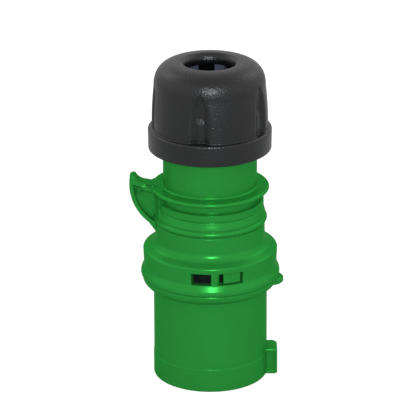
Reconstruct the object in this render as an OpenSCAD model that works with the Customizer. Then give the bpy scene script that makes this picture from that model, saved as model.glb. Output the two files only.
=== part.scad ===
// Pin and sleeve plug, three pins, standing on the rim of its shroud.
// Millimetres. The plug's axis is Z, and the shroud's rim lies in the plane z = 0.
// The shroud's key points to +X and the finger fin to -X.

/* [Shroud] */
// Outer radius of the band along the shroud's rim
shroud_r = 22.25; // [20:0.1:28]
// Wall of the shroud
shroud_wall = 2.85; // [2.2:0.1:4]
// Length of the shroud from its rim to the collar lip
shroud_len = 37.2; // [30:0.1:50]
// Height of the band along the rim
rim_band_h = 9.3; // [4:0.1:14]
// How much the shroud is thinner above that band
rim_band_step = 0.16; // [0.08:0.02:0.4]

/* [Key and retaining lug] */
// How far the key stands out of the shroud
key_out = 3.95; // [3:0.1:6]
// Width of the key
key_w = 9.6; // [7:0.1:12]
// Height of the key
key_h = 10.5; // [8:0.1:16]
// Depth of the pocket in each side of the key
key_pocket = 1.1; // [0.6:0.1:3]
// Wall left round the key's pockets
key_wall = 1; // [0.8:0.1:1.6]
// Radius of the retaining lug's round end
lug_r = 4.6; // [3:0.1:6]
// How far the lug stands out of the collar lip
lug_out = 2.1; // [1.5:0.1:4]
// Thickness of the lug
lug_t = 2.7; // [2:0.1:3.6]

/* [Collar] */
// Height of the collar lip on the lower housing
lip_h = 4.4; // [3.6:0.1:6]
// Height of the collar from the seam to its upper edge
band_h = 11.8; // [11:0.1:16]
// Wall of the collar round its windows
band_wall = 1.5; // [1.2:0.1:2.4]
// How far the collar's lower bead stands out of its waist
bead_out = 1.2; // [0.6:0.1:2]
// Wall of the spigot inside the collar
spigot_wall = 2.9; // [2.4:0.1:4]
// Width of the seat that the contact carrier rests on
seat_w = 1.7; // [1.2:0.1:2.5]
// Gap between the spigot and the collar
joint_gap = 0.25; // [0.15:0.05:0.4]
// Height of the latch windows
window_h = 4.7; // [4:0.1:5.5]
// Angle that the empty window takes
window_angle = 17.3; // [12:0.1:22]
// Angle that the latch's window takes
latch_window_angle = 23; // [18:0.1:28]
// Angle that the latch's pad takes
latch_angle = 15.3; // [11:0.1:16]
// How far the latch's pad lies behind the collar's face
latch_recess = 0.45; // [0.2:0.05:1]
// Number of twist lugs between the housings
twist_lugs = 3; // [3:1:4]
// Angle that each twist lug takes
twist_lug_angle = 18; // [12:1:24]
// Angle of the locking twist
twist_angle = 22; // [16:1:26]

/* [Upper housing] */
// Step from the collar's face in to the body
shoulder_w = 4.6; // [4:0.1:6]
// Height of the body from the collar to its top ring
body_h = 19.3; // [16:0.1:30]
// Wall of the body
body_wall = 2.2; // [1.8:0.1:3]
// Height of the groove under the flange
groove_h = 3.6; // [2.5:0.1:5]
// How far the flange stands out of the body
flange_out = 1.65; // [1:0.1:3]
// Thickness of the flange
flange_t = 1.8; // [1.4:0.1:3]
// Radius of the neck
neck_r = 18.1; // [16:0.1:21]
// Height of the neck above the flange
neck_h = 31.3; // [26:0.1:40]

/* [Finger fin] */
// Radius of the fin's outer curve
fin_r = 20; // [17:0.1:24]
// How far the fin reaches out of the body
fin_out = 9.9; // [7:0.1:12]
// Width of the fin
fin_w = 6.6; // [5:0.1:9]
// Thickness of the rim round the fin
fin_rim = 1.5; // [1.2:0.1:2]
// Thickness of the web inside the fin
fin_web = 1.6; // [1.2:0.1:2.4]

/* [Gland] */
// Wall of the gland nut over the thread
nut_wall = 4.75; // [4.2:0.1:6]
// Height of the nut's lower ring
nut_ring_h = 8.3; // [6:0.1:11]
// How far the nut's ring stands out of its wall
nut_ring_out = 1.45; // [0.8:0.05:2.5]
// Height of the nut's crest above the seat of its slip ring
nut_dome_h = 15.8; // [13:0.1:20]
// Radius of the nut's cable throat
throat_r = 9.3; // [7:0.1:10]
// Depth of thread that the nut covers
thread_cover = 18.5; // [15:0.1:20]
// Number of grip flutes round the nut
flutes = 5; // [4:1:8]
// Width of each flute at its foot
flute_w = 7.4; // [5:0.1:9]
// Depth of each flute
flute_depth = 2.65; // [1.8:0.05:2.9]
// Width of the round-topped rib in each flute
flute_rib_w = 2.9; // [1.5:0.1:3.5]
// How far that rib stands up from the flute's floor
flute_rib_h = 0.8; // [0.3:0.05:1.4]
// Number of clamping fingers
fingers = 6; // [4:1:8]
// Angle that each finger takes
finger_angle = 23; // [16:1:30]
// Wall of a finger
finger_t = 1.6; // [1.2:0.1:2]
// Radius of the bore through the large cable grommet
grommet_bore_r = 8.2; // [7:0.1:9]
// Radius of the bore through its removable core
core_bore_r = 5; // [3:0.1:6]

/* [Contacts] */
// Radius of the circle that the pins stand on
pin_circle_r = 11; // [10:0.1:13]
// Radius of the line and neutral pins
pin_r = 2.5; // [2:0.1:3]
// Radius of the earth pin
earth_r = 3.5; // [3:0.1:3.6]
// Distance from the rim in to the ends of the line and neutral pins
pin_recess = 6.5; // [4:0.1:10]
// Distance from the rim in to the end of the earth pin
earth_recess = 3.5; // [2:0.1:6]
// Angle from the key to the earth pin
earth_angle = -120; // [-120:120:120]
// Radius of the terminal barrels
barrel_r = 4.2; // [4:0.1:4.6]
// Radius of the wire hole in a terminal
wire_r = 2.2; // [1.6:0.1:2.4]
// Radius of a terminal screw's thread
clamp_screw_r = 1.65; // [1.4:0.05:1.8]
// Height of the contact carrier
carrier_h = 20.5; // [19:0.1:26]
// Thickness of the plate behind the carrier
plate_t = 2.4; // [1.6:0.1:4]

/* [Hidden] */

$fn = 96;
overlap = 1; // how far a cutter runs past the face it opens

// Colours as the plug shows them
plug_green = "#268734";
cap_black = "#353638";
finger_grey = "#50505f";
insert_black = "#1e1f22";
rubber_black = "#222223";
brass = "#c8b070";
plated_steel = "#b8bcc0";

// Heights along the axis, from the rim up
z_seam = shroud_len + lip_h;
z_band_top = z_seam + band_h;
z_ring_top = z_band_top + body_h;
z_flange = z_ring_top + groove_h;
z_flange_top = z_flange + flange_t;
z_neck_top = z_flange_top + neck_h;
cage_ring_t = 1.4;
slip_t = 0.8;
slip_gap = 0.1;
z_slip = z_neck_top + cage_ring_t;
z_nut_seat = z_slip + slip_t + slip_gap;
z_nut = z_nut_seat - thread_cover;
z_nut_ring_top = z_nut + nut_ring_h;
z_crest = z_nut_seat + nut_dome_h;

// Radii from the pins' side outwards
shroud_upper_r = shroud_r - rim_band_step;
shroud_bore = shroud_r - shroud_wall;
spigot_bore = shroud_bore + seat_w;
spigot_r = spigot_bore + spigot_wall;
band_bore = spigot_r + joint_gap;
waist_r = band_bore + band_wall;
lip_r = waist_r + bead_out / 2;
body_r = waist_r - shoulder_w;
cavity_r = body_r - body_wall;
flange_r = body_r + flange_out;
groove_r = body_r - 1.45;
rim_round = 0.5;
seam_round = 0.7;

// Collar windows and latch, as angles from -Y towards +X
window_start = -16.6;
latch_window_start = 5.9;
latch_start = latch_window_start + 5.6;
latch_gap = 3.4;
latch_right_gap = latch_window_start + latch_window_angle - latch_start - latch_angle + 0.6;
z_window = z_seam + 4.4;
window_clear = 0.6;
latch_arm_t = 1.5;
z_spigot_top = z_window + window_h;
z_latch_root = z_window - 2.2;

// Seal between the spigot and the collar's ceiling
seal_r = 0.85;
seal_mid_r = spigot_r - seal_r - 0.45;
seal_gap = 0.05;
z_ceiling = z_spigot_top + 2 * (seal_r + seal_gap);

// Twist lugs on the spigot and the track inside the collar
twist_lug_out = 0.75;
twist_lug_h = 1.8;
twist_lug_clear = 0.15;
twist_start = 51;
z_twist_lug = z_seam + 0.7;

// Neck and gland
thread_r = neck_r - 0.65;
z_thread = z_nut + 2.4;
nut_bore_r = thread_r + 0.1;
nut_skirt_r = neck_r + 0.5;
nut_skirt_h = 3.8;
nut_r = nut_bore_r + nut_wall;
nut_ring_r = nut_r + nut_ring_out;
z_nut_wall_top = z_nut_seat + nut_dome_h * 0.4;
nut_taper = 0.9;
dome_fullness = 0.8;
crest_r = throat_r + 2.1;
throat_roll_h = 2.9;
throat_len = 1.2;
flute_start = -100;
flute_floor_r = nut_r - flute_depth;
z_flute_foot = z_nut_ring_top + 0.3;
z_flute_rib = z_nut_seat - 0.4;
z_flute_spring = z_nut_seat + 0.8;
z_flute_apex = z_nut_wall_top + nut_dome_h * 0.28;
chamber_r = neck_r - 4.7;
z_chamber = z_neck_top - 14.4;
z_grommet = z_chamber + 0.05;
grommet_h = 14.2;
grommet_gap = 0.15;
throat_land_r = chamber_r - 3.4;
finger_r = throat_r + 0.5;
finger_tip_r = finger_r + finger_t;
z_finger_tip = z_crest - 4.2;
finger_start = 7.5;
finger_root_r = chamber_r + finger_t;
slip_in = chamber_r + 2.1;
slip_out = nut_bore_r - 0.25;

// Contacts and their carrier
carrier_gap = 0.2;
z_carrier = shroud_len - 0.7;
z_seat = z_carrier + 2.1;
carrier_flange_h = 5.4;
z_carrier_flange = z_seat + carrier_flange_h;
z_carrier_top = z_carrier + carrier_h;
carrier_front_r = shroud_bore - carrier_gap;
carrier_flange_r = spigot_bore - carrier_gap;
carrier_back_r = cavity_r - 0.6;
carrier_key_w = 3;
carrier_key_depth = 0.9;
pin_fit = 0.05;
pin_shoulder = 0.3;
pin_tip_round = 1.6;
z_barrel = z_carrier + 7.7;
z_barrel_top = z_carrier_top - 0.2;
z_clamp_screw = z_barrel + 7.3;
barrel_fit = 0.1;
clamp_head_r = 2.7;
clamp_head_l = 2.2;
clamp_well_r = clamp_head_r + 0.4;
pressure_t = 0.5;
pressure_w = 2.8;
pressure_h = 8;
pressure_out = wire_r - 0.6;
centre_screw_r = 1.75;
centre_head_r = 3.3;
centre_head_h = 2;
centre_screw_l = 11;
snap_hooks = 3;
hook_out = 0.75;
hook_h = 1.4;
contact_angles = [earth_angle + 120, earth_angle + 240, earth_angle];

// Points of an elliptic arc round (cx, cz) from angle a to angle b
function arc(cx, cz, rx, rz, a, b, n = 8) =
    [for (i = [0:n]) let (t = a + (b - a) * i / n) [cx + rx * cos(t), cz + rz * sin(t)]];

// A ring sector between two radii, from angle a through angle w, counted from -Y towards +X
module sector(r_in, r_out, a, w, z, h) {
    rotate([0, 0, a - 90])
        rotate_extrude(angle = w)
            translate([r_in, z])
                square([r_out - r_in, h]);
}

module at_contact(i) {
    rotate([0, 0, contact_angles[i]])
        translate([pin_circle_r, 0, 0])
            children();
}

// Lower housing: shroud, key, retaining lug, lip, spigot with latch and twist lugs

lower_profile = concat(
    [[shroud_bore + rim_round, 0]],
    arc(shroud_r - rim_round, rim_round, rim_round, rim_round, -90, 0, 4),
    [
        [shroud_r, rim_band_h - rim_band_step],
        [shroud_upper_r, rim_band_h],
        [shroud_upper_r - 0.05, shroud_len]
    ],
    arc(shroud_upper_r - 0.05, z_seam - seam_round, lip_r - shroud_upper_r + 0.05,
        lip_h - seam_round, -90, 0, 10),
    arc(lip_r - seam_round, z_seam - seam_round, seam_round, seam_round, 15, 90, 4),
    [
        [spigot_r, z_seam],
        [spigot_r, z_spigot_top],
        [spigot_bore, z_spigot_top],
        [spigot_bore, z_seat],
        [shroud_bore, z_seat],
        [shroud_bore, rim_round]
    ]
);

module key_block() {
    reach = shroud_r + key_out;
    corner = 1.5;
    difference() {
        hull() {
            for (y = [-1, 1]) {
                translate([shroud_r - 1.2, y * (key_w / 2 - corner), 0.2])
                    cylinder(r = corner, h = key_h - 0.5, $fn = 32);
                translate([reach - corner, y * (key_w / 2 - corner), 0]) {
                    cylinder(r = corner - 0.2, h = key_h - 0.4, $fn = 32);
                    translate([0, 0, 0.3])
                        cylinder(r = corner, h = key_h - 1.4, $fn = 32);
                    translate([-0.8, 0, 0])
                        cylinder(r = corner - 0.3, h = key_h, $fn = 32);
                }
            }
        }
        for (y = [-1, 1])
            translate([shroud_r - overlap, y * (key_w / 2) - (y > 0 ? key_pocket : 0), 1.5])
                cube([key_out + overlap - key_wall, key_pocket, key_h - 1.5 - key_wall]);
    }
}

module retaining_lug() {
    edge = 0.6;
    reach = lip_r + lug_out;
    z_lug = shroud_len + 0.1;
    hull()
        for (x = [spigot_bore, reach - lug_r])
            translate([x, 0, z_lug]) {
                cylinder(r = lug_r - edge, h = lug_t, $fn = 40);
                translate([0, 0, edge])
                    cylinder(r = lug_r, h = lug_t - 2 * edge, $fn = 40);
            }
}

module latch() {
    sector(spigot_r - latch_arm_t, waist_r - latch_recess, latch_start, latch_angle,
        z_window + window_clear, window_h - window_clear - 0.3);
}

module twist_lug(i) {
    sector(spigot_r - overlap, spigot_r + twist_lug_out,
        twist_start + i * 360 / twist_lugs, twist_lug_angle, z_twist_lug, twist_lug_h);
}

module snap_hook(i) {
    rotate([0, 0, 150 + i * 360 / snap_hooks])
        rotate_extrude(angle = 12)
            polygon([
                [spigot_bore + 0.5, z_carrier_flange + 0.1],
                [spigot_bore - hook_out, z_carrier_flange + 0.1],
                [spigot_bore - hook_out, z_carrier_flange + 0.5],
                [spigot_bore + 0.5, z_carrier_flange + 0.1 + hook_h]
            ]);
}

module lower_housing() {
    color(plug_green)
        difference() {
            union() {
                difference() {
                    union() {
                        rotate_extrude()
                            polygon(lower_profile);
                        key_block();
                        retaining_lug();
                    }
                    // the bore stays clear of the key and the lug
                    translate([0, 0, -overlap])
                        cylinder(r = shroud_bore, h = z_seat + overlap);
                    translate([0, 0, z_seat])
                        cylinder(r = spigot_bore, h = z_spigot_top);
                    // opening behind the empty window
                    sector(spigot_bore - overlap, spigot_r + overlap, window_start - 1,
                        window_angle + 2, z_window - 0.8, window_h + overlap);
                    // slots on both sides of the latch, and the pocket that thins its arm
                    sector(spigot_bore - overlap, spigot_r + overlap, latch_start - latch_gap,
                        latch_gap, z_latch_root, z_spigot_top);
                    sector(spigot_bore - overlap, spigot_r + overlap, latch_start + latch_angle,
                        latch_right_gap, z_latch_root, z_spigot_top);
                    sector(spigot_bore - overlap, spigot_r - latch_arm_t, latch_start - latch_gap / 2,
                        latch_angle + (latch_gap + latch_right_gap) / 2, z_latch_root + 0.5,
                        z_spigot_top);
                }
                latch();
                for (i = [0:twist_lugs - 1])
                    twist_lug(i);
                for (i = [0:snap_hooks - 1])
                    snap_hook(i);
                // rib that stops the carrier turning
                translate([-spigot_bore - 0.5, -carrier_key_w / 2, z_seat - 0.5])
                    cube([carrier_key_depth + 0.5, carrier_key_w, carrier_flange_h]);
            }
        }
}

// Upper housing: collar with windows, body with rings, groove, flange, neck and fin

collar_points = concat(
    [[band_bore, z_seam], [lip_r - seam_round, z_seam]],
    arc(waist_r + bead_out - seam_round, z_seam + seam_round + 0.2, seam_round,
        seam_round + 0.2, -60, 0, 4),
    [
        for (i = [0:8])
            let (t = i / 8)
            [waist_r + bead_out * (0.5 + 0.5 * cos(180 * t)), z_seam + 1.2 + t * (band_h * 0.31)]
    ]
);
shoulder_fillet = 3.8;
shoulder_round = 1;
shoulder_points = concat(
    arc(waist_r + 0.25 - shoulder_round, z_band_top - 1.3, shoulder_round, shoulder_round, 0, 75, 5),
    arc(body_r + shoulder_fillet, z_band_top + 4, shoulder_fillet, shoulder_fillet, 252, 180, 9)
);
ring_points = [
    for (i = [0:10])
        let (t = i / 10)
        [body_r + 0.1 * t + 0.8 * pow(sin(180 * t), 1.4), z_ring_top - 10.4 + 4.8 * t],
    [body_r - 0.45, z_ring_top - 2.5],
    [body_r - 0.75, z_ring_top - 2.4],
    [body_r - 0.7, z_ring_top - 0.3],
    [body_r - 1, z_ring_top]
];
flange_points = concat(
    [[groove_r, z_ring_top], [groove_r, z_flange - 0.4], [groove_r + 0.4, z_flange]],
    arc(flange_r - flange_t / 2, z_flange + flange_t / 2, flange_t / 2, flange_t / 2, -90, 80, 10),
    arc(neck_r + 0.8, z_flange_top + 0.8, 0.8, 0.8, 260, 180, 6)
);
inner_points = [
    [neck_r, z_thread],
    [thread_r, z_thread + 0.5],
    [thread_r, z_neck_top - 0.6],
    [thread_r - 0.6, z_neck_top],
    [chamber_r, z_neck_top],
    [chamber_r, z_chamber],
    [throat_land_r, z_chamber],
    [throat_land_r, z_chamber - 1],
    [neck_r - 2.6, z_chamber - 4.5],
    [neck_r - 2.6, z_flange - 1.5],
    [cavity_r, z_ring_top - 3.5],
    [cavity_r, z_ceiling],
    [spigot_r - 0.35, z_ceiling],
    [spigot_r - 0.35, z_spigot_top + 0.2],
    [band_bore, z_spigot_top + 0.2]
];

module fin_shape(rim) {
    tip_r = 1.5;
    far = body_r + fin_out;
    z_centre = z_flange_top + 0.9;
    z_tip = z_flange_top + 2.4;
    hollow_r = 5.1;
    hollow_x = far - 6.9;
    z_low = z_flange_top + 0.95;
    difference() {
        union() {
            intersection() {
                translate([-far + fin_r, z_centre])
                    circle(r = fin_r - rim);
                translate([-far, z_centre - fin_r])
                    square([fin_out + 3, fin_r - z_centre + z_tip - rim]);
            }
            // the lower end runs down to the body in a straight line
            if (rim == 0)
                polygon([
                    [-far + fin_r * 0.37, z_centre - fin_r * 0.777],
                    [-body_r - 0.1, z_centre - fin_r * 0.95],
                    [-body_r + 1.8, z_centre - fin_r * 0.95],
                    [-body_r + 1.8, z_centre - fin_r * 0.6]
                ]);
            if (rim == 0)
                translate([-far + tip_r + 0.05, z_tip])
                    circle(r = tip_r, $fn = 48);
        }
        translate([-hollow_x, z_low + hollow_r])
            circle(r = hollow_r + rim);
        // from the hollow's lowest point the top falls gently to the flange
        polygon([
            [-hollow_x, z_low - rim],
            [-neck_r - 1.8, z_flange_top - rim],
            [-neck_r + 1, z_flange_top - rim],
            [-neck_r + 1, z_tip + 2],
            [-hollow_x, z_tip + 2]
        ]);
    }
}

module fin_pocket() {
    intersection() {
        fin_shape(fin_rim);
        // ends at the pad on the body, and under the flange along a slanting gusset
        polygon([
            [-body_r - fin_out, z_flange_top + 1.5],
            [-body_r - fin_out, z_band_top],
            [-body_r - 0.2, z_band_top],
            [-body_r - 0.2, z_flange - 2.2],
            [-body_r - 1.1, z_flange - 0.5]
        ]);
    }
}

module fin() {
    difference() {
        rotate([90, 0, 0])
            translate([0, 0, -fin_w / 2])
                linear_extrude(fin_w)
                    fin_shape(0);
        for (y = [-1, 1])
            translate([0, y * (fin_w + fin_web) / 2, 0])
                rotate([90, 0, 0])
                    translate([0, 0, -fin_w / 2])
                        linear_extrude(fin_w)
                            fin_pocket();
    }
}

// Webs that lead the flange's rim over to the fin in a hollow curve
module fin_webs() {
    web_r = 5;
    web_y = fin_w / 2 + web_r;
    web_x = sqrt(pow(flange_r + web_r, 2) - web_y * web_y);
    turn = atan2(web_y, web_x);
    for (side = [-1, 1])
        translate([0, 0, z_flange + 0.1])
            linear_extrude(flange_t - 0.2)
                polygon(concat(
                    [[-neck_r, 0], [-neck_r, side * web_y * 0.6]],
                    [
                        for (i = [0:10])
                            let (a = turn + i * (90 - turn) / 10)
                            [web_r * cos(a) - web_x, side * (web_y - web_r * sin(a))]
                    ],
                    [[-web_x, 0]]
                ));
}

module fin_pad() {
    pad_angle = 44;
    rotate([0, 0, 180 - pad_angle / 2])
        rotate_extrude(angle = pad_angle)
            polygon([
                [cavity_r + 0.5, z_band_top + 5],
                [body_r + 0.1, z_band_top + 5],
                [body_r + 0.1, z_flange + 0.1],
                [neck_r, z_flange + 0.1],
                [neck_r, z_flange - 1.5]
            ]);
}

module upper_housing() {
    color(plug_green)
        difference() {
            union() {
                rotate_extrude()
                    polygon(concat(collar_points, shoulder_points, ring_points, flange_points,
                        inner_points));
                difference() {
                    union() {
                        fin_pad();
                        fin_webs();
                        fin();
                    }
                    cylinder(r = cavity_r, h = z_ring_top - 3.5);
                    translate([0, 0, z_ring_top - 3.5])
                        cylinder(r1 = cavity_r, r2 = neck_r - 2.6, h = z_flange - 1.5 - z_ring_top + 3.5);
                    cylinder(r = neck_r - 0.5, h = z_neck_top);
                }
            }
            sector(band_bore - overlap, lip_r + overlap, window_start, window_angle,
                z_window, window_h);
            sector(band_bore - overlap, lip_r + overlap, latch_window_start, latch_window_angle,
                z_window, window_h);
            // tracks of the twist lugs, with the notches that let them in
            for (i = [0:twist_lugs - 1]) {
                start = twist_start + i * 360 / twist_lugs;
                sector(band_bore - overlap, spigot_r + twist_lug_out + 0.2, start - 0.5,
                    twist_angle + twist_lug_angle / 2, z_twist_lug - twist_lug_clear,
                    twist_lug_h + 2 * twist_lug_clear);
                sector(band_bore - overlap, spigot_r + twist_lug_out + 0.25,
                    start + twist_angle - 0.5, twist_lug_angle + 1, z_seam - overlap,
                    overlap + z_twist_lug - z_seam + twist_lug_h + twist_lug_clear + 0.1);
            }
        }
}

module housing_seal() {
    color(rubber_black)
        rotate_extrude()
            translate([seal_mid_r, z_spigot_top + seal_gap + seal_r])
                circle(r = seal_r, $fn = 32);
}

// Contact carrier: front disc, flange and the block that holds the terminals

module contact_carrier() {
    color(insert_black)
        difference() {
            union() {
                translate([0, 0, z_carrier])
                    cylinder(r = carrier_front_r, h = z_seat - z_carrier + 0.5);
                translate([0, 0, z_seat])
                    cylinder(r = carrier_flange_r, h = carrier_flange_h);
                translate([0, 0, z_seat])
                    cylinder(r = carrier_back_r, h = z_carrier_top - z_seat);
            }
            for (i = [0:2])
                at_contact(i) {
                    translate([0, 0, z_carrier - overlap])
                        cylinder(r = (i == 2 ? earth_r : pin_r) + pin_shoulder + pin_fit,
                            h = carrier_h);
                    translate([0, 0, z_barrel - barrel_fit])
                        cylinder(r = barrel_r + barrel_fit, h = carrier_h);
                    translate([barrel_r / 2, 0, z_clamp_screw])
                        rotate([0, 90, 0])
                            cylinder(r = clamp_well_r, h = carrier_back_r);
                }
            // cores between the terminals
            for (i = [0:2])
                rotate([0, 0, contact_angles[i] + 60])
                    translate([pin_circle_r + 0.8, 0, z_carrier_flange + 1])
                        cylinder(r = 3.6, h = carrier_h);
            // pilot hole for the screw of the retaining plate
            translate([0, 0, z_carrier_top - centre_screw_l])
                cylinder(r = centre_screw_r + pin_fit, h = centre_screw_l + overlap);
            translate([-carrier_flange_r - 0.5, -carrier_key_w / 2 - carrier_gap, z_seat - 0.5])
                cube([carrier_key_depth + 0.6, carrier_key_w + 2 * carrier_gap, carrier_flange_h + 1]);
        }
}

module retaining_plate() {
    color(insert_black)
        difference() {
            translate([0, 0, z_carrier_top])
                cylinder(r = carrier_back_r - 0.2, h = plate_t);
            for (i = [0:2])
                at_contact(i)
                    translate([0, 0, z_carrier_top - overlap]) {
                        cylinder(r = wire_r + 0.2, h = plate_t + 2 * overlap);
                        translate([0, 0, overlap + plate_t / 3])
                            cylinder(r1 = wire_r + 0.2, r2 = wire_r + 1.4, h = plate_t * 2 / 3 + 0.01);
                    }
            translate([0, 0, z_carrier_top - overlap])
                cylinder(r = centre_screw_r + pin_fit, h = plate_t + 2 * overlap);
        }
}

module carrier_screw() {
    z_head = z_carrier_top + plate_t;
    color(plated_steel)
        difference() {
            union() {
                translate([0, 0, z_head - centre_screw_l])
                    cylinder(r = centre_screw_r, h = centre_screw_l + 0.5);
                translate([0, 0, z_head])
                    cylinder(r = centre_head_r, h = centre_head_h);
            }
            for (a = [0, 90])
                rotate([0, 0, a])
                    translate([-2, -0.4, z_head + centre_head_h - 1.2])
                        cube([4, 0.8, 1.2 + overlap]);
        }
}

// A contact pin: rounded end, shank, shoulder inside the carrier and terminal barrel

module contact_pin(i, r, recess) {
    color(brass)
        at_contact(i)
            difference() {
                union() {
                    rotate_extrude()
                        polygon(concat(
                            [[0, recess]],
                            arc(r - pin_tip_round, recess + pin_tip_round, pin_tip_round,
                                pin_tip_round, -90, 0, 6),
                            [[r, z_carrier], [r + pin_shoulder, z_carrier],
                                [r + pin_shoulder, z_barrel], [0, z_barrel]]
                        ));
                    translate([0, 0, z_barrel])
                        cylinder(r = barrel_r, h = z_barrel_top - z_barrel);
                }
                translate([0, 0, z_barrel + 2])
                    cylinder(r = wire_r, h = z_barrel_top);
                translate([0, 0, z_clamp_screw])
                    rotate([0, 90, 0])
                        cylinder(r = clamp_screw_r + pin_fit, h = barrel_r + overlap);
            }
}

module pin_line() {
    contact_pin(0, pin_r, pin_recess);
}

module pin_neutral() {
    contact_pin(1, pin_r, pin_recess);
}

module pin_earth() {
    contact_pin(2, earth_r, earth_recess);
}

module terminal_screw(i) {
    tip = pressure_out + 0.05;
    head = barrel_r + 0.8;
    color(plated_steel)
        at_contact(i)
            translate([0, 0, z_clamp_screw])
                rotate([0, 90, 0])
                    difference() {
                        union() {
                            translate([0, 0, tip])
                                cylinder(r = clamp_screw_r, h = head - tip + 0.2);
                            translate([0, 0, head])
                                cylinder(r = clamp_head_r, h = clamp_head_l);
                        }
                        translate([-clamp_head_r - overlap, -0.4, head + clamp_head_l - 1])
                            cube([2 * (clamp_head_r + overlap), 0.8, 1 + overlap]);
                    }
}

module pressure_plate(i) {
    color(plated_steel)
        at_contact(i)
            translate([pressure_out - pressure_t, -pressure_w / 2, z_clamp_screw - pressure_h / 2])
                cube([pressure_t, pressure_w, pressure_h]);
}

// Gland: grommet and core, clamping cage, slip ring and nut

module cable_grommet() {
    color(rubber_black)
        rotate_extrude()
            polygon([
                [grommet_bore_r, z_grommet],
                [chamber_r - grommet_gap, z_grommet],
                [chamber_r - grommet_gap, z_grommet + 9],
                [chamber_r - grommet_gap - 0.5, z_grommet + grommet_h],
                [grommet_bore_r, z_grommet + grommet_h]
            ]);
}

module grommet_core() {
    core_r = grommet_bore_r - 0.1;
    color(rubber_black)
        rotate_extrude()
            polygon([
                [core_bore_r, z_grommet + 0.5],
                [core_r, z_grommet + 0.5],
                [core_r, z_grommet + grommet_h - 0.5],
                [core_bore_r + 1, z_grommet + grommet_h - 0.5],
                [core_bore_r, z_grommet + grommet_h - 1.5]
            ]);
}

finger_profile = [
    [chamber_r, z_neck_top + 0.2],
    [chamber_r - 1.2, z_neck_top + 2.6],
    [finger_r, z_finger_tip - 5.2],
    [finger_r, z_finger_tip],
    [finger_tip_r - 0.4, z_finger_tip],
    [finger_tip_r, z_finger_tip - 0.8],
    [finger_tip_r + 0.1, z_finger_tip - 4.6],
    [finger_root_r - 0.9, z_neck_top + 2.8],
    [finger_root_r, z_neck_top + 0.2]
];

module clamp_cage() {
    color(finger_grey) {
        union() {
            translate([0, 0, z_neck_top])
                difference() {
                    cylinder(r = nut_bore_r - 0.4, h = cage_ring_t);
                    translate([0, 0, -overlap])
                        cylinder(r = chamber_r, h = cage_ring_t + 2 * overlap);
                }
            for (i = [0:fingers - 1])
                rotate([0, 0, finger_start - finger_angle / 2 + i * 360 / fingers])
                    rotate_extrude(angle = finger_angle)
                        polygon(finger_profile);
        }
    }
}

module slip_ring() {
    color(finger_grey)
        translate([0, 0, z_slip])
            difference() {
                cylinder(r = slip_out, h = slip_t);
                translate([0, 0, -overlap])
                    cylinder(r = slip_in, h = slip_t + 2 * overlap);
            }
}

nut_profile = concat(
    [[nut_skirt_r, z_nut], [nut_ring_r - 0.5, z_nut], [nut_ring_r - 0.1, z_nut + 0.4],
        [nut_ring_r, z_nut_ring_top - 1.3], [nut_ring_r - 0.15, z_nut_ring_top - 0.6],
        [nut_ring_r - 0.5, z_nut_ring_top - 0.1], [nut_ring_r - 1, z_nut_ring_top + 0.15],
        [nut_r + 0.05, z_nut_ring_top + 0.35]],
    [
        for (i = [0:8])
            let (t = i / 8)
            [nut_r - nut_taper * t * t,
                z_nut_ring_top + 0.6 + t * (z_nut_wall_top - z_nut_ring_top - 0.6)]
    ],
    [
        for (i = [1:14])
            let (t = i * 90 / 14)
            [crest_r + (nut_r - nut_taper - crest_r) * pow(cos(t), dome_fullness),
                z_nut_wall_top + (z_crest - z_nut_wall_top) * pow(sin(t), dome_fullness)]
    ],
    arc(crest_r, z_crest - throat_roll_h, crest_r - throat_r, throat_roll_h, 99, 180, 9),
    [
        [throat_r, z_crest - throat_roll_h - throat_len],
        [finger_tip_r + 0.5, z_crest - throat_roll_h - throat_len],
        [finger_tip_r + 1.1, z_finger_tip - 0.9],
        [nut_bore_r - 1.8, z_nut_seat + 4.4],
        [nut_bore_r - 1, z_nut_seat + 1.6],
        [nut_bore_r - 1, z_nut_seat],
        [nut_bore_r, z_nut_seat],
        [nut_bore_r, z_nut + nut_skirt_h + 0.6],
        [nut_skirt_r, z_nut + nut_skirt_h]
    ]
);

// Outline of a flute, seen from outside: upright sides that close in a pointed arch
flute_side = concat(
    [[flute_w / 2, z_flute_foot]],
    [
        for (i = [0:7])
            let (t = i / 8)
            [(flute_w / 2 - 0.6) * (1 - pow(t, 1.7)), z_flute_spring + t * (z_flute_apex - z_flute_spring)]
    ]
);
flute_outline = concat(
    flute_side,
    [[0, z_flute_apex]],
    [for (i = [len(flute_side) - 1:-1:0]) [-flute_side[i][0], flute_side[i][1]]]
);

module flute(i) {
    reach = nut_r + 2;
    rotate([0, 0, flute_start + i * 360 / flutes])
        difference() {
            translate([flute_floor_r - 1, 0, 0])
                rotate([90, 0, 90])
                    linear_extrude(reach - flute_floor_r + 1)
                        polygon(flute_outline);
            // floor: upright to the rib's top, then leaning out to the dome
            rotate([90, 0, 0])
                translate([0, 0, -flute_w])
                    linear_extrude(2 * flute_w)
                        polygon([
                            [flute_floor_r - 2, z_flute_foot - 1],
                            [flute_floor_r, z_flute_foot - 1],
                            [flute_floor_r, z_flute_rib],
                            [flute_floor_r + 1.3, z_flute_apex + 0.2],
                            [flute_floor_r + 1.3, z_flute_apex + 1],
                            [flute_floor_r - 2, z_flute_apex + 1]
                        ]);
            translate([flute_floor_r - 0.5, 0, 0])
                rotate([90, 0, 90])
                    linear_extrude(flute_rib_h + 0.5)
                        union() {
                            translate([-flute_rib_w / 2, z_flute_foot - 1])
                                square([flute_rib_w, z_flute_rib - z_flute_foot + 1 - flute_rib_w / 2]);
                            translate([0, z_flute_rib - flute_rib_w / 2])
                                circle(r = flute_rib_w / 2, $fn = 32);
                        }
        }
}

module cap_nut() {
    color(cap_black)
        difference() {
            rotate_extrude()
                polygon(nut_profile);
            for (i = [0:flutes - 1])
                flute(i);
        }
}

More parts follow.
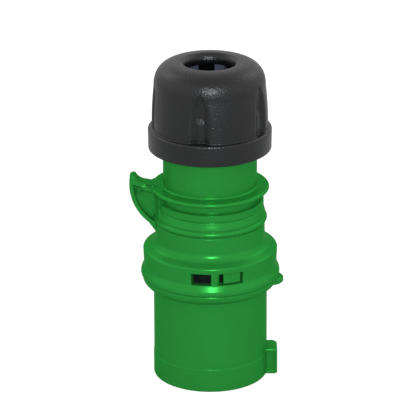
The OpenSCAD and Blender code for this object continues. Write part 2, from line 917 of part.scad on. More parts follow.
lower_housing();
upper_housing();
housing_seal();
contact_carrier();
retaining_plate();
carrier_screw();
pin_line();
pin_neutral();
pin_earth();
terminal_screw(0);  // terminal_screw_line
terminal_screw(1);  // terminal_screw_neutral
terminal_screw(2);  // terminal_screw_earth
pressure_plate(0);  // pressure_plate_line
pressure_plate(1);  // pressure_plate_neutral
pressure_plate(2);  // pressure_plate_earth
cable_grommet();
grommet_core();
clamp_cage();
slip_ring();
cap_nut();
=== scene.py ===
import math

import bmesh
import bpy
import numpy as np
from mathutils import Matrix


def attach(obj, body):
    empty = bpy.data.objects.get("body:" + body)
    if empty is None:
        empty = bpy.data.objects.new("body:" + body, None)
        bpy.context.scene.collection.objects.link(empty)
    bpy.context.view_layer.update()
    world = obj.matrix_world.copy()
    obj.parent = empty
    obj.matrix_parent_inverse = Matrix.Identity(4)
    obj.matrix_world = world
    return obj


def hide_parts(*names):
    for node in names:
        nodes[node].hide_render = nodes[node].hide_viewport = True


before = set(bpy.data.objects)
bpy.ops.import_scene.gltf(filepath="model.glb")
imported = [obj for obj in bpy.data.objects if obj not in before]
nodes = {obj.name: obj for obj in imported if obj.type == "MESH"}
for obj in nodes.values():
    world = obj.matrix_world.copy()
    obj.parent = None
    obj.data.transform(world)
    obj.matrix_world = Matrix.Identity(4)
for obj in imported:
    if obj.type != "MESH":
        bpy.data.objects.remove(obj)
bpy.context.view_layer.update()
mm = 0.001                      # metres in a millimetre; the pieces' own sizes are in mm
print("frame loaded:", len(nodes), "CAD nodes")


# camera

view = {
    "distance": 1150 * mm,      # from the lens to the target
    "elevation": 21.2,          # degrees above the floor
    "targetHeight": 65 * mm,
    "roll": -0.18,              # degrees, about the line of sight
    "lens": 255.0,              # mm
    "sensor": 36.0,             # mm
    "shift": (-0.0003, 0.0124), # shares of the sensor
    "clip": (0.05, 50.0),       # m
}


def addCamera(cfg):
    # camera on the -Y side: place = target + distance * (0, -cos e, sin e)
    e = math.radians(cfg["elevation"])
    back, up = cfg["distance"] * math.cos(e), cfg["distance"] * math.sin(e)
    camera = bpy.data.objects.new("camera", bpy.data.cameras.new("camera"))
    camera.location = (0, -back, cfg["targetHeight"] + up)
    camera.rotation_mode = "ZYX"
    camera.rotation_euler = (math.pi / 2 - e, 0, math.radians(cfg["roll"]))
    camera.data.sensor_width = cfg["sensor"]
    camera.data.lens = cfg["lens"]
    camera.data.shift_x, camera.data.shift_y = cfg["shift"]
    camera.data.clip_start, camera.data.clip_end = cfg["clip"]
    bpy.context.scene.collection.objects.link(camera)
    bpy.context.scene.camera = camera


def linearColour(hexCode):
    # sRGB to linear: c / 12.92 for dark values, ((c + 0.055) / 1.055) ^ 2.4 for the rest
    c = np.array([int(hexCode[i:i + 2], 16) for i in (1, 3, 5)]) / 255
    linear = np.where(c <= 0.04045, c / 12.92, ((c + 0.055) / 1.055) ** 2.4)
    return (*linear.tolist(), 1.0)


def addNode(tree, kind, settings=None, inputs=None):
    # a node with its settings; an input is a value, or the output socket that feeds it
    node = tree.nodes.new(kind)
    for name, value in (settings or {}).items():
        setattr(node, name, value)
    for name, value in (inputs or {}).items():
        if isinstance(value, bpy.types.NodeSocket):
            tree.links.new(value, node.inputs[name])
        else:
            node.inputs[name].default_value = value
    return node


def newTree(holder):
    # an empty node tree on a material or a world
    holder.use_nodes = True
    holder.node_tree.nodes.clear()
    return holder.node_tree


# room, paper floor and lamps

studio = {
    "paper": "#c4c4c3",         # matt pale sweep
    "paperSize": 5.0,           # m
    "paperGlow": 0.75,          # lifts the paper to white in the picture, its shadow stays
    "paperMirrored": 0.12,      # the same in the reflections, where less of it shows
    "fill": 0.54,               # light that the white room gives
    "mirrored": 0.7,            # how bright its walls are in the object's reflections
    "white": (1.0, 1.0, 1.0),
    "coolWhite": (0.84, 0.93, 1.0),
    "lamps": {                  # azimuth from the front, elevation, distance, size, watts
        "sparkLamp": (3, 23, 1.1, 0.09, 5.2),
        "leftSoftbox": (-75, 18, 1.2, 1.8, 2.7),
        "rightSoftbox": (75, 18, 1.2, 1.8, 2.7),
        "backLeftSoftbox": (-128, 38, 1.3, 0.6, 1.2),
        "backRightSoftbox": (128, 38, 1.3, 0.6, 1.2),
    },
}


def rayStrength(tree, seen, mirrored, other):
    # strength = other + (seen - other) * camera ray + (mirrored - other) * glossy ray
    path = addNode(tree, "ShaderNodeLightPath")
    direct = addNode(tree, "ShaderNodeMath", {"operation": "MULTIPLY_ADD"},
                     {0: path.outputs["Is Camera Ray"], 1: seen - other, 2: other})
    total = addNode(tree, "ShaderNodeMath", {"operation": "MULTIPLY_ADD"},
                    {0: path.outputs["Is Glossy Ray"], 1: mirrored - other, 2: direct.outputs[0]})
    return total.outputs[0]


def addWhiteRoom(cfg):
    # an even white world: the camera sees it at 1, reflections and the diffuse light get less
    world = bpy.data.worlds.new("whiteRoom")
    bpy.context.scene.world = world
    tree = newTree(world)
    strength = rayStrength(tree, 1, cfg["mirrored"], cfg["fill"])
    light = addNode(tree, "ShaderNodeBackground", None, {"Color": (*cfg["white"], 1), "Strength": strength})
    addNode(tree, "ShaderNodeOutputWorld", None, {"Surface": light.outputs[0]})


def addPaperFloor(cfg):
    # one square sheet at z = 0: matt paper plus a glow that only camera and glossy rays see
    half = cfg["paperSize"] / 2
    mesh = bpy.data.meshes.new("paperFloor")
    corners = [(-half, -half, 0), (half, -half, 0), (half, half, 0), (-half, half, 0)]
    mesh.from_pydata(corners, [], [(0, 1, 2, 3)])
    floor = bpy.data.objects.new("paperFloor", mesh)
    bpy.context.scene.collection.objects.link(floor)
    paper = bpy.data.materials.new("matt white paper")
    tree = newTree(paper)
    matt = addNode(tree, "ShaderNodeBsdfDiffuse", None, {"Color": linearColour(cfg["paper"])})
    strength = rayStrength(tree, cfg["paperGlow"], cfg["paperMirrored"], 0)
    glow = addNode(tree, "ShaderNodeEmission", None, {"Color": (*cfg["white"], 1), "Strength": strength})
    lit = addNode(tree, "ShaderNodeAddShader", None, {0: matt.outputs[0], 1: glow.outputs[0]})
    # the sheet is clear from below, so the underside can be looked at through it
    below = addNode(tree, "ShaderNodeNewGeometry").outputs["Backfacing"]
    clear = addNode(tree, "ShaderNodeBsdfTransparent")
    mix = addNode(tree, "ShaderNodeMixShader", None, {0: below, 1: lit.outputs[0], 2: clear.outputs[0]})
    addNode(tree, "ShaderNodeOutputMaterial", None, {"Surface": mix.outputs[0]})
    mesh.materials.append(paper)


def addLamps(cfg):
    # square lamps round the target, each turned to it:
    # place = target + distance * (sin a cos e, -cos a cos e, sin e)
    for name, (azimuth, elevation, distance, size, watts) in cfg["lamps"].items():
        a, e = math.radians(azimuth), math.radians(elevation)
        lamp = bpy.data.lights.new(name, "AREA")
        lamp.shape, lamp.size, lamp.energy = "SQUARE", size, watts
        lamp.color = cfg["coolWhite"] if name == "sparkLamp" else cfg["white"]
        holder = bpy.data.objects.new(name, lamp)
        holder.location = (distance * math.sin(a) * math.cos(e), -distance * math.cos(a) * math.cos(e),
                           view["targetHeight"] + distance * math.sin(e))
        holder.rotation_euler = (math.pi / 2 - e, 0, a)
        bpy.context.scene.collection.objects.link(holder)


addCamera(view)
addWhiteRoom(studio)
addPaperFloor(studio)
addLamps(studio)
bpy.context.scene.view_settings.view_transform = "Standard"
print("camera, floor and lamps placed")


# materials: lengths are in mm, colours in sRGB

noiseSpan = (0.3, 0.7)      # where most of a noise's values lie


def cloudyLook(tree, place, cfg):
    # one noise mixes the dark and the light colour, and carries the roughness between its two ends
    noise = addNode(tree, "ShaderNodeTexNoise", None,
                    {"Vector": place, "Scale": 1 / (cfg["cloud"] * mm), "Detail": cfg["cloudDetail"],
                     "Roughness": cfg["cloudMix"]})
    ends = {6: linearColour(cfg["dark"]), 7: linearColour(cfg["light"])}
    colour = addNode(tree, "ShaderNodeMix", {"data_type": "RGBA"}, {0: noise.outputs["Fac"], **ends})
    rough = addNode(tree, "ShaderNodeMapRange", None,
                    {"Value": noise.outputs["Fac"], "From Min": noiseSpan[0], "From Max": noiseSpan[1],
                     "To Min": cfg["roughness"][0], "To Max": cfg["roughness"][1]})
    return colour.outputs[2], rough.outputs[0]


def roundedBump(tree, height, cfg):
    # bump of a height, on a normal that the bevel rounds at every edge
    edge = addNode(tree, "ShaderNodeBevel", {"samples": cfg["edgeSamples"]}, {"Radius": cfg["edge"] * mm})
    bump = addNode(tree, "ShaderNodeBump", None,
                   {"Height": height, "Strength": cfg["bump"], "Distance": cfg["depth"] * mm,
                    "Normal": edge.outputs[0]})
    return bump.outputs[0]


moulded = {                     # what the moulded materials share, unless they say otherwise
    "cloudDetail": 3, "cloudMix": 0.5, "grainDetail": 2, "grainMix": 0.6, "edgeSamples": 6,
    "ior": 1.53, "tint": "#ffffff", "metal": 0.0,
}


def mouldedPlastic(name, cfg):
    # injection-moulded plastic: an even colour with faint flow clouds, and the fine grain of the
    # eroded mould as bump; edges are rounded by a bevelled normal, as a mould leaves them
    material = bpy.data.materials.new(name)
    tree = newTree(material)
    place = addNode(tree, "ShaderNodeTexCoord").outputs["Object"]
    colour, rough = cloudyLook(tree, place, cfg)
    grain = addNode(tree, "ShaderNodeTexNoise", None,
                    {"Vector": place, "Scale": 1 / (cfg["grain"] * mm), "Detail": cfg["grainDetail"],
                     "Roughness": cfg["grainMix"]})
    normal = roundedBump(tree, grain.outputs["Fac"], cfg)
    shader = addNode(tree, "ShaderNodeBsdfPrincipled", None,
                     {"Base Color": colour, "Roughness": rough, "IOR": cfg["ior"], "Metallic": cfg["metal"],
                      "Specular IOR Level": cfg["gloss"], "Specular Tint": linearColour(cfg["tint"]),
                      "Normal": normal})
    addNode(tree, "ShaderNodeOutputMaterial", None, {"Surface": shader.outputs[0]})
    return material


# the grains from 0.25 to 0.8 mm are drawn coarser than those of real moulds, which are too fine to show

# polyamide 6, coloured through: satin. Its highlights look strong green and never pale, so the white
# gloss is off and a share of Metallic gives green ones, which is for the look alone
greenPolyamide = mouldedPlastic("green moulded polyamide", {
    **moulded, "dark": "#2c903a", "light": "#309a40", "cloud": 14, "roughness": (0.27, 0.32),
    "grain": 0.5, "bump": 0.25, "depth": 0.02, "edge": 0.35,
    "gloss": 0.0, "tint": "#b4ffbe", "metal": 0.36})
# black polyamide with the coarsest grain of these: a lamp's reflection breaks up into sparkle on it
blackPolyamide = mouldedPlastic("black grained polyamide", {
    **moulded, "dark": "#0a0a0b", "light": "#0e0e0f", "cloud": 12, "roughness": (0.3, 0.35),
    "grain": 0.8, "bump": 1.0, "depth": 0.18, "edge": 0.3, "gloss": 0.45})
# blue-grey polyamide of the clamping parts: smooth mould, so a softer sheen
greyPolyamide = mouldedPlastic("grey moulded polyamide", {
    **moulded, "dark": "#4a4b5b", "light": "#56586a", "cloud": 8, "roughness": (0.35, 0.45),
    "grain": 0.4, "bump": 0.2, "depth": 0.02, "edge": 0.2, "gloss": 0.4})
# glass-filled polyamide of the insert: dull, with mottled filler showing
insertPolyamide = mouldedPlastic("black glass-filled polyamide", {
    **moulded, "dark": "#0f1112", "light": "#16191a", "cloud": 1.2, "roughness": (0.5, 0.62),
    "grain": 0.3, "bump": 0.4, "depth": 0.03, "edge": 0.25, "ior": 1.55, "gloss": 0.3})
# chloroprene rubber: matt and slightly dusty
blackRubber = mouldedPlastic("black chloroprene rubber", {
    **moulded, "dark": "#1c1c1c", "light": "#262625", "cloud": 5, "roughness": (0.68, 0.8),
    "grain": 0.25, "bump": 0.4, "depth": 0.03, "edge": 0.3, "ior": 1.52, "gloss": 0.4})


machined = {                    # what the metals share
    "cloud": 3.0, "cloudDetail": 4, "cloudMix": 0.55, "edgeSamples": 4, "edge": 0.12, "depth": 0.01,
    "waver": 1.5, "markDetail": 2, "markDetailScale": 2,
}


def turnedMetal(name, cfg):
    # metal with tool marks: fine bands across the axis as bump, and a roughness that wanders
    material = bpy.data.materials.new(name)
    tree = newTree(material)
    place = addNode(tree, "ShaderNodeTexCoord").outputs["Object"]
    marks = addNode(tree, "ShaderNodeTexWave", {"wave_type": "BANDS", "bands_direction": "Z"},
                    {"Vector": place, "Scale": 1 / (cfg["pitch"] * mm) / (2 * math.pi),
                     "Distortion": cfg["waver"], "Detail": cfg["markDetail"],
                     "Detail Scale": cfg["markDetailScale"]})
    colour, rough = cloudyLook(tree, place, cfg)
    normal = roundedBump(tree, marks.outputs["Fac"], cfg)
    shader = addNode(tree, "ShaderNodeBsdfPrincipled", None,
                     {"Base Color": colour, "Metallic": 1.0, "Roughness": rough, "Normal": normal})
    addNode(tree, "ShaderNodeOutputMaterial", None, {"Surface": shader.outputs[0]})
    return material


# free-cutting brass: warm yellow with turning rings
turnedBrass = turnedMetal("turned brass", {
    **machined, "dark": "#b3934f", "light": "#cdb06a", "roughness": (0.22, 0.34),
    "pitch": 0.12, "bump": 0.3})
# zinc-plated steel: cool pale grey, its faint lines drawn coarser than the real ones
zincPlated = turnedMetal("zinc-plated steel", {
    **machined, "dark": "#9aa0a6", "light": "#bcc2c8", "roughness": (0.28, 0.42),
    "pitch": 0.2, "bump": 0.15})

poles = ("line", "neutral", "earth")
finishes = (
    (greenPolyamide, ["lower_housing", "upper_housing"]),
    (blackPolyamide, ["cap_nut"]),
    (greyPolyamide, ["clamp_cage", "slip_ring"]),
    (insertPolyamide, ["contact_carrier", "retaining_plate"]),
    (blackRubber, ["housing_seal", "cable_grommet", "grommet_core"]),
    (turnedBrass, ["pin_" + pole for pole in poles]),
    (zincPlated, ["carrier_screw"] + [part + pole for part in ("terminal_screw_", "pressure_plate_")
                                      for pole in poles]),
)
for material, names in finishes:
    for name in names:
        nodes[name].data.materials.clear()
        nodes[name].data.materials.append(material)
print("materials made and put on", sum(len(names) for material, names in finishes), "nodes")


# gland nut: the black cap at the cable end

def softCorners(corners, steps):
    # corners (r, z, a): each is rounded by the curve P = (1-t)^2 A + 2t(1-t) C + t^2 B,
    # where A and B lie a before and after the corner C on the closed outline
    p = np.array([c[:2] for c in corners], float)
    a = np.array([c[2] for c in corners], float)[:, None]
    back, ahead = np.roll(p, 1, 0) - p, np.roll(p, -1, 0) - p
    back /= np.linalg.norm(back, axis=1, keepdims=True)
    ahead /= np.linalg.norm(ahead, axis=1, keepdims=True)
    before, corner, after = (p + a * back)[:, None], p[:, None], (p + a * ahead)[:, None]
    t = np.linspace(0, 1, steps)[None, :, None]
    curve = (1 - t) ** 2 * before + 2 * t * (1 - t) * corner + t ** 2 * after
    return curve.reshape(-1, 2)


tiny = 1e-6                 # keeps rounding out of a count, and a zero out of a division
samePlace = 1e-4            # mm, closer points on an outline are one


def subdivide(path, spacing):
    # extra points along a closed outline, so that no step is longer than spacing(r, z)
    ahead = np.roll(path, -1, 0)
    length = np.linalg.norm(ahead - path, axis=1)
    middle = (path + ahead) / 2
    count = np.maximum(1, np.ceil(length / spacing(middle[:, 0], middle[:, 1]) - tiny).astype(int))
    start = np.repeat(np.arange(len(path)), count)
    step = (np.arange(count.sum()) - np.repeat(np.cumsum(count) - count, count)) / count[start]
    points = path[start] + (ahead - path)[start] * step[:, None]
    keep = np.linalg.norm(points - np.roll(points, 1, 0), axis=1) > samePlace
    return points[keep]


def smoothStep(low, high, x):
    # t^2 (3 - 2t), where t runs from 0 at low to 1 at high
    t = np.clip((x - low) / (high - low), 0, 1)
    return t * t * (3 - 2 * t)


def smoothMax(a, b, width):
    # the larger of two values, bent where they cross: (a + b + sqrt((a-b)^2 + w^2)) / 2, less
    # w^2 / (4 |a-b| + 2 w) times a smooth step of |a-b| from 0 to 2 w, which brings it back to the larger
    gap = np.abs(a - b)
    lift = 0.25 * width ** 2 / (gap + 0.5 * width)
    return 0.5 * (a + b + np.sqrt(gap ** 2 + width ** 2)) - lift * smoothStep(0, 2 * width, gap)


def smoothMin(a, b, width):
    # the smaller of two values: minus the smooth larger of their opposites
    return -smoothMax(-a, -b, width)


def meshPiece(name, points, quads, material):
    # points in mm, faces as rows of vertex numbers
    mesh = bpy.data.meshes.new(name)
    mesh.vertices.add(len(points))
    mesh.vertices.foreach_set("co", (points * mm).astype(np.float32).ravel())
    mesh.loops.add(quads.size)
    mesh.loops.foreach_set("vertex_index", quads.astype(np.int32).ravel())
    mesh.polygons.add(len(quads))
    mesh.polygons.foreach_set("loop_start", np.arange(0, quads.size, quads.shape[1], dtype=np.int32))
    mesh.polygons.foreach_set("use_smooth", np.ones(len(quads), bool))
    mesh.update(calc_edges=True)
    mesh.validate()
    mesh.materials.append(material)
    piece = bpy.data.objects.new(name, mesh)
    bpy.context.scene.collection.objects.link(piece)
    return piece


def closedGrid(name, points, material):
    # points[i, j] is row i along the outline and column j round the axis; both directions close
    rows, columns = points.shape[:2]
    i, j = np.meshgrid(np.arange(rows), np.arange(columns), indexing="ij")
    nextI, nextJ = (i + 1) % rows, (j + 1) % columns
    here, below = i * columns, nextI * columns
    quads = np.stack([here + j, here + nextJ, below + nextJ, below + j], -1)
    return meshPiece(name, points.reshape(-1, 3), quads.reshape(-1, 4), material)


thread = {                      # mm: radii from the axis, heights over the shroud's rim
    "pitch": 3.0, "start": 95.6, "end": 109.0,
    "root": 17.45, "crest": 18.05,              # radii of the neck's ridge
    "bore": 17.55, "groove": 18.2,              # radii of the nut's groove
    "grooveHalf": (1.05, 0.5),                  # half width of the groove at the bore and at its floor
    "runOut": 0.5,                              # turn in radians over which the ridge rises
    "sink": 0.05,                               # its ends go this share of its height under the root
    "endGap": 1.4, "stepsPerTurn": 96,          # it stops this far short of the thread's end
    # the ridge's section: place along the axis, and share of its height over the root
    "ridge": ((-0.85, -0.5), (-0.8, 0.0), (-0.42, 0.93), (-0.34, 1.0),
              (0.34, 1.0), (0.42, 0.93), (0.8, 0.0), (0.85, -0.5)),
}


def threadForm(theta, z, rootHalf, crestHalf):
    # 1 within crestHalf of the helix z = start + pitch * theta / 2 pi, measured along the axis, and by a
    # smooth step down to 0 at rootHalf from it
    pitch = thread["pitch"]
    h = np.mod(z - thread["start"] - pitch * theta / (2 * np.pi) + pitch / 2, pitch)
    return 1 - smoothStep(crestHalf, rootHalf, np.abs(h - pitch / 2))


nut = {                         # mm and degrees, from the same axis and rim
    "bottom": 93.2, "skirtRadius": 18.6, "skirtTop": 97.0, "chamfer": 0.6,
    "ringRadius": 23.75, "ringTop": 101.5, "ringDraft": 0.12, "ringSlope": 0.2, "rootGap": 0.02,
    "wallRadius": 22.3, "wallFoot": 0.9, "wallTop": 118.02, "taper": 0.9,
    "crestRadius": 11.4, "crest": 127.5, "fullness": 0.8,
    "throatRadius": 9.3, "throatTop": 124.6, "throatBottom": 123.4,
    "chamber": ((11.9, 123.4, 0.4), (12.5, 122.4, 0.4), (15.75, 116.1, 0.5)),   # radius, height, rounding
    "seat": 111.7, "seatRadius": 16.55, "seatTop": 113.3,
    "mouthRound": 0.35, "ringFootRound": 0.55, "ringTopRound": 0.85, "rootRound": 0.3,
    "throatRound": 0.2, "seatTopRound": 0.3, "seatRound": 0.1, "boreRound": 0.15, "chamferRound": 0.2,
    "flutes": 5, "fluteStart": -100, "foot": 101.8, "spring": 112.0, "apex": 121.3,
    "fluteHalf": (4.0, 3.7), "archPower": 2.0, "wallSlope": 0.82, "soft": 0.25,
    "floorRadius": 20.1, "floorLean": 0.055, "ledge": 111.3,
    "tongueHalf": 1.8, "tongueRise": 0.8, "tongueEdge": 0.25, "tongueSide": 1.4, "tongueTop": 0.5,
    "tongueSoft": 0.15,
    "archLimit": 1.3,                           # the arch is closed at 1, and worked out up to this
    "pocketStart": (0.2, 0.4),                  # heights over the ring between which the flutes set in
    "pocketStop": 1.2,                          # they stay this far under the crest
    "outerBand": 3.0,                           # the outer face reaches this far inside the wall's radius
    "boreMargin": 0.05, "skirtMargin": 0.02,    # the bore's zone goes past it, and short of the skirt
    # corners, and heights of corners, that only give a rounding its direction
    "aim": {"wall": 1.2, "ring": (0, 110, 1), "throat": (0, 130, 1), "skirt": 90},
    "columns": 72, "crowding": 0.72,            # columns for each flute, and how close they stand there
    # longest steps along the outline; they are fine round a rib's end, and a little past the chamfer
    "rows": {"fine": 0.12, "wall": 0.42, "bore": 0.3, "inside": 2.0, "rib": (1.0, 1.4), "pastChamfer": 0.3},
    "curveSteps": {"ring": 6, "wall": 40, "dome": 64, "roll": 16, "inside": 4},
    "wallStart": 0.04,                          # the wall's first row, as a share of its height
    "rollStart": 94,                            # degrees, a step past 90, where the dome ends
}


def nutOutline(cfg):
    # underside and ring, wall r = R - taper * t^2, dome from the shoulder s = R - taper on, where
    # r = c + (s - c) cos^f t and z = w + (top - w) sin^f t, throat roll as a quarter ellipse, then the
    # stepped inside; the aim corners only give the first and last roundings their direction, and
    # their own points are left out
    steps, aim = cfg["curveSteps"], cfg["aim"]
    skirt, ringTop, wall = cfg["skirtRadius"], cfg["ringTop"], cfg["wallRadius"]
    ring = softCorners([(skirt, cfg["bottom"], cfg["mouthRound"]),
                        (cfg["ringRadius"] - cfg["ringDraft"], cfg["bottom"], cfg["ringFootRound"]),
                        (cfg["ringRadius"], ringTop, cfg["ringTopRound"]),
                        (wall + cfg["rootGap"], ringTop + cfg["ringSlope"], cfg["rootRound"]),
                        (wall, ringTop + aim["wall"], 1), aim["ring"]], steps["ring"])
    ring = ring[:-2 * steps["ring"]]
    t = np.linspace(cfg["wallStart"], 1, steps["wall"])
    foot = ringTop + cfg["wallFoot"]
    side = np.stack([wall - cfg["taper"] * t ** 2, foot + (cfg["wallTop"] - foot) * t], 1)
    t = np.linspace(0, np.pi / 2, steps["dome"])[1:]
    shoulder, full = wall - cfg["taper"], cfg["fullness"]
    dome = np.stack([cfg["crestRadius"] + (shoulder - cfg["crestRadius"]) * np.cos(t) ** full,
                     cfg["wallTop"] + (cfg["crest"] - cfg["wallTop"]) * np.sin(t) ** full], 1)
    t = np.radians(np.linspace(cfg["rollStart"], 180, steps["roll"]))
    roll = np.stack([cfg["crestRadius"] + (cfg["crestRadius"] - cfg["throatRadius"]) * np.cos(t),
                     cfg["throatTop"] + (cfg["crest"] - cfg["throatTop"]) * np.sin(t)], 1)
    bore, seat = thread["bore"], cfg["seat"]
    inside = softCorners([aim["throat"], (cfg["throatRadius"], cfg["throatBottom"], cfg["throatRound"]),
                          *cfg["chamber"], (cfg["seatRadius"], cfg["seatTop"], cfg["seatTopRound"]),
                          (cfg["seatRadius"], seat, cfg["seatRound"]), (bore, seat, cfg["boreRound"]),
                          (bore, cfg["skirtTop"] + cfg["chamfer"], cfg["chamferRound"]),
                          (skirt, cfg["skirtTop"], cfg["chamferRound"]), (skirt, aim["skirt"], 1)],
                         steps["inside"])
    inside = inside[steps["inside"]:-steps["inside"]]
    return np.concatenate([ring, side, dome, roll, inside])


def nutSurface(cfg):
    # the outline turned round the axis: r(z, turn) = outline - depth of the flutes, and in the bore
    # the larger of the outline and the thread's groove
    rows, ledge = cfg["rows"], cfg["ledge"]

    def onOutside(r, z):
        # the wall and the outer part of the dome
        return (r > cfg["wallRadius"] - cfg["outerBand"]) & (z > cfg["ringTop"])

    def inBore(r, z):
        # the threaded bore, with the chamfer at its mouth
        across = (r > thread["bore"] - cfg["boreMargin"]) & (r < cfg["skirtRadius"] - cfg["skirtMargin"])
        return across & (z > cfg["skirtTop"]) & (z < cfg["seat"] + cfg["boreMargin"])

    def spacing(r, z):
        # rows are close where a rib ends and where the groove meets the chamfer
        below, reach = rows["rib"]
        crossing = cfg["skirtTop"] + cfg["chamfer"] + rows["pastChamfer"]
        outside = np.where(np.abs(z - ledge + below) < reach, rows["fine"], rows["wall"])
        bore = np.where(z < crossing, rows["fine"], rows["bore"])
        return np.where(onOutside(r, z), outside, np.where(inBore(r, z), bore, rows["inside"]))

    outline = subdivide(nutOutline(cfg), spacing)
    r, z = outline[:, :1], outline[:, 1:]
    # columns are close together at the flutes: turn = u - c sin(flutes * u) / flutes
    flutes, start = cfg["flutes"], math.radians(cfg["fluteStart"])
    u = np.linspace(0, 2 * np.pi, cfg["columns"] * flutes, endpoint=False)
    turn = u - cfg["crowding"] * np.sin(flutes * u) / flutes + start
    fromFlute = np.mod((turn - start) * flutes / (2 * np.pi) + 0.5, 1) - 0.5
    x = np.abs(fromFlute * 2 * np.pi / flutes)[None, :] * r
    # outline of a flute: half width w(z) narrows a little up to the spring, then closes as an arch,
    # w = h (1 - t^p); the pocket is as deep as the leaning floor, or as its walls, slope * (w - x)
    t = np.clip((z - cfg["foot"]) / (cfg["spring"] - cfg["foot"]), 0, 1)
    arch = np.clip((z - cfg["spring"]) / (cfg["apex"] - cfg["spring"]), 0, cfg["archLimit"])
    arch = arch ** cfg["archPower"]
    low, high = cfg["fluteHalf"]
    half = (low + (high - low) * t) * (1 - arch)
    floor = cfg["floorRadius"] + cfg["floorLean"] * np.maximum(z - ledge, 0)
    walls = cfg["wallSlope"] * (half - x)
    # a rib stands in the pocket: a box of half width a that ends in a circle, with a slanting top
    offAxis = np.sqrt(x ** 2 + np.maximum(z - ledge + cfg["tongueHalf"], 0) ** 2) - cfg["tongueHalf"]
    edge, top = cfg["tongueSide"] * (cfg["tongueEdge"] - offAxis), cfg["tongueTop"] * (ledge - z)
    tongue = cfg["tongueRise"] * np.clip(smoothMin(edge, top, cfg["tongueSoft"]), 0, 1)
    depth = smoothMin(r - floor - tongue, walls, cfg["soft"])
    depth = smoothMax(depth, 0 * depth, cfg["soft"])
    begin, full = cfg["pocketStart"]
    rise = smoothStep(cfg["ringTop"] + begin, cfg["ringTop"] + full, z)
    radius = r - onOutside(r, z) * rise * (z < cfg["crest"] - cfg["pocketStop"]) * depth
    # the thread's groove runs out through the chamfer, so that the neck's ridge passes it
    groove = (thread["groove"] - thread["bore"]) * threadForm(turn[None, :], z, *thread["grooveHalf"])
    radius = np.where(inBore(r, z), np.maximum(radius, thread["bore"] + groove), radius)
    return np.stack([radius * np.cos(turn), radius * np.sin(turn), np.broadcast_to(z, radius.shape)], -1)


capNut = closedGrid("gland_nut", nutSurface(nut), blackPolyamide)
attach(capNut, "nut")
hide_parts("cap_nut")
print("gland nut made:", len(capNut.data.polygons), "faces")


# gland thread: the ridge on the neck that the nut turns on

def threadRidge(cfg):
    # a trapezoid carried along a helix: z = start + pitch * turn / 2 pi; both ends sink into the root
    turns = (cfg["end"] - cfg["start"] - cfg["endGap"]) / cfg["pitch"]
    a = np.linspace(0, 2 * np.pi * turns, int(cfg["stepsPerTurn"] * turns))
    height = (smoothStep(0, cfg["runOut"], a) * smoothStep(0, cfg["runOut"], a[-1] - a))[:, None]
    along, rise = np.array(cfg["ridge"]).T
    share = np.where(rise > 0, rise * height - cfg["sink"] * (1 - height), rise)
    r = cfg["root"] + (cfg["crest"] - cfg["root"]) * share
    z = cfg["start"] + cfg["pitch"] * a[:, None] / (2 * np.pi) + along
    points = np.stack([r * np.cos(a)[:, None], r * np.sin(a)[:, None], z], -1)
    rows, columns = points.shape[:2]
    i, j = np.meshgrid(np.arange(rows - 1), np.arange(columns), indexing="ij")
    nextJ = (j + 1) % columns
    here, below = i * columns, (i + 1) * columns
    quads = np.stack([here + j, below + j, below + nextJ, here + nextJ], -1)
    ends = [list(range(columns)), list(range((rows - 1) * columns, rows * columns))[::-1]]
    return points.reshape(-1, 3), quads.reshape(-1, 4), ends


def closeEnds(mesh, ends):
    # a face on each open end, then all faces turned outwards
    bm = bmesh.new()
    bm.from_mesh(mesh)
    bm.verts.ensure_lookup_table()
    for end in ends:
        bm.faces.new([bm.verts[k] for k in end])
    bmesh.ops.recalc_face_normals(bm, faces=bm.faces)
    bm.to_mesh(mesh)
    bm.free()


points, quads, ends = threadRidge(thread)
glandThread = meshPiece("gland_thread", points, quads, greenPolyamide)
closeEnds(glandThread.data, ends)
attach(glandThread, "plug")
print("gland thread made")


# upper housing: the rings under the flange are cut finer here than in the CAD piece

rings = {                       # mm
    "top": 72.7, "flange": 76.3, "body": 21.15,
    "grooveFloor": (19.7, 18.9),                # radius under the flange, before and after
    "band": -0.45, "bandFoot": 2.8,             # first ring; depths are counted down from the top
    "swell": 0.25, "swellFoot": 6.5, "foot": 9.4,
    "bead": 0.75, "beadDepth": 7.9, "beadHalf": 1.6,
    "grooves": ((3.05, 0.4, 0.2), (6.55, 0.3, 0.22), (9.5, 0.12, 0.2)),     # depth, cut, half width
    "lip": (0.5, 0.15),                         # cut and half width at the top edge
    "reach": (0.02, 10.9), "near": 0.06,        # depths and distance within which a point belongs to them
    "firstCut": 0.1, "cuts": 0.3,               # depth of the first new edge ring, and their spacing
    "grooveCuts": (0.5, 9),                     # more of them across a groove: half span and number
    "weld": 1e-6, "onPlane": 1e-7,              # m, for merging points and for cutting
    "sharpAngle": 24,                           # degrees
}
cadRings = {                    # the same rings in the CAD piece: straight stretches, then the bead
    "depths": (0, 0.3, 2.4, 2.5, 5.6), "offsets": (-1.0, -0.7, -0.75, -0.45, 0.1),
    "beadFoot": 10.4, "beadLength": 4.8, "beadLean": 0.1, "beadHeight": 0.8, "beadPower": 1.4,
}


def cadOffset(cfg, depth):
    # radius of the CAD rings over the body's: straight stretches, and on the bead, as t runs from 0 at
    # its foot to 1, lean * t + height * sin(180 t)^power
    t = np.clip((cfg["beadFoot"] - depth) / cfg["beadLength"], 0, 1)
    bead = cfg["beadLean"] * t + cfg["beadHeight"] * np.sin(np.pi * t) ** cfg["beadPower"]
    stretches = np.interp(depth, cfg["depths"], cfg["offsets"])
    return np.where(depth < cfg["depths"][-1], stretches, bead)


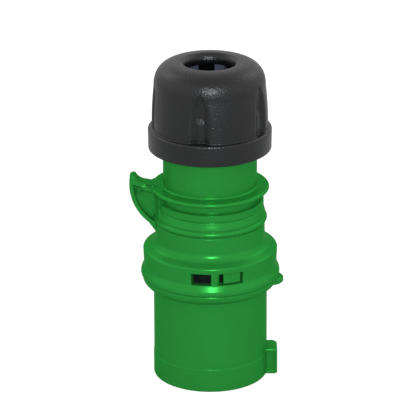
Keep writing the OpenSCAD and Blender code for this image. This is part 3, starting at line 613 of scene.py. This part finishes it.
def ringOffset(cfg, depth):
    # a flat first ring, a slow swell up to the bead, a cos^2 bead, less a bell exp(-(d/w)^2) for each
    # groove and for the rounded edge at the top
    swell = (cfg["swell"] - cfg["band"]) * smoothStep(cfg["bandFoot"], cfg["swellFoot"], depth)
    fall = cfg["swell"] * smoothStep(cfg["swellFoot"], cfg["foot"], depth)
    phase = np.clip((depth - cfg["beadDepth"]) / cfg["beadHalf"], -1, 1)
    offset = cfg["band"] + swell - fall + cfg["bead"] * np.cos(np.pi / 2 * phase) ** 2
    for place, cut, half in cfg["grooves"]:
        offset = offset - cut * np.exp(-((depth - place) / half) ** 2)
    cut, half = cfg["lip"]
    return offset - cut * np.exp(-(depth / half) ** 2)


def cutRings(cfg, bm):
    # new edge rings in level planes: evenly spaced, and closer across each groove
    span, count = cfg["grooveCuts"]
    depths = [np.arange(cfg["firstCut"], cfg["reach"][1], cfg["cuts"])]
    depths += [groove[0] + np.linspace(-span, span, count) for groove in cfg["grooves"]]
    for depth in np.unique(np.round(np.concatenate(depths), 2)):
        z = (cfg["top"] - depth) * mm
        faces = [f for f in bm.faces if min(v.co.z for v in f.verts) < z < max(v.co.z for v in f.verts)]
        edges = {e for f in faces for e in f.edges}
        verts = {v for f in faces for v in f.verts}
        bmesh.ops.bisect_plane(bm, geom=list(verts) + list(edges) + faces, dist=cfg["onPlane"],
                               plane_co=(0, 0, z), plane_no=(0, 0, 1))


def ringedHousing(cfg):
    # the CAD housing's mesh, cut finer; points on the old rings and in the groove under the flange move
    # to their new radius, r = body + ringOffset or the new groove floor, and the others stay
    bm = bmesh.new()
    bm.from_mesh(nodes["upper_housing"].data)
    bmesh.ops.remove_doubles(bm, verts=bm.verts, dist=cfg["weld"])
    cutRings(cfg, bm)
    mesh = bpy.data.meshes.new("upper_shell")
    bm.to_mesh(mesh)
    bm.free()
    co = np.empty(len(mesh.vertices) * 3, np.float32)
    mesh.vertices.foreach_get("co", co)
    p = co.reshape(-1, 3).astype(float) / mm
    r, depth = np.hypot(p[:, 0], p[:, 1]), cfg["top"] - p[:, 2]
    (first, last), near, (oldFloor, newFloor) = cfg["reach"], cfg["near"], cfg["grooveFloor"]
    offRings = np.abs(r - cfg["body"] - cadOffset(cadRings, depth))
    onRings = (depth > first) & (depth < last) & (offRings < near)
    inGroove = (depth < first) & (depth > cfg["top"] - cfg["flange"]) & (np.abs(r - oldFloor) < near)
    target = np.where(onRings, cfg["body"] + ringOffset(cfg, depth), np.where(inGroove, newFloor, r))
    p[:, :2] *= (target / np.maximum(r, tiny))[:, None]
    mesh.vertices.foreach_set("co", (p * mm).astype(np.float32).ravel())
    mesh.polygons.foreach_set("use_smooth", np.ones(len(mesh.polygons), bool))
    mesh.update()
    mesh.set_sharp_from_angle(angle=math.radians(cfg["sharpAngle"]))
    mesh.materials.clear()
    mesh.materials.append(greenPolyamide)
    shell = bpy.data.objects.new("upper_shell", mesh)
    bpy.context.scene.collection.objects.link(shell)
    even = shell.modifiers.new("even normals", "WEIGHTED_NORMAL")
    even.keep_sharp = True
    print("upper shell made:", len(mesh.polygons), "faces,", int(onRings.sum()), "points on the rings,",
          int(inGroove.sum()), "in the groove")
    return shell


upperShell = ringedHousing(rings)
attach(upperShell, "plug")
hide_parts("upper_housing")
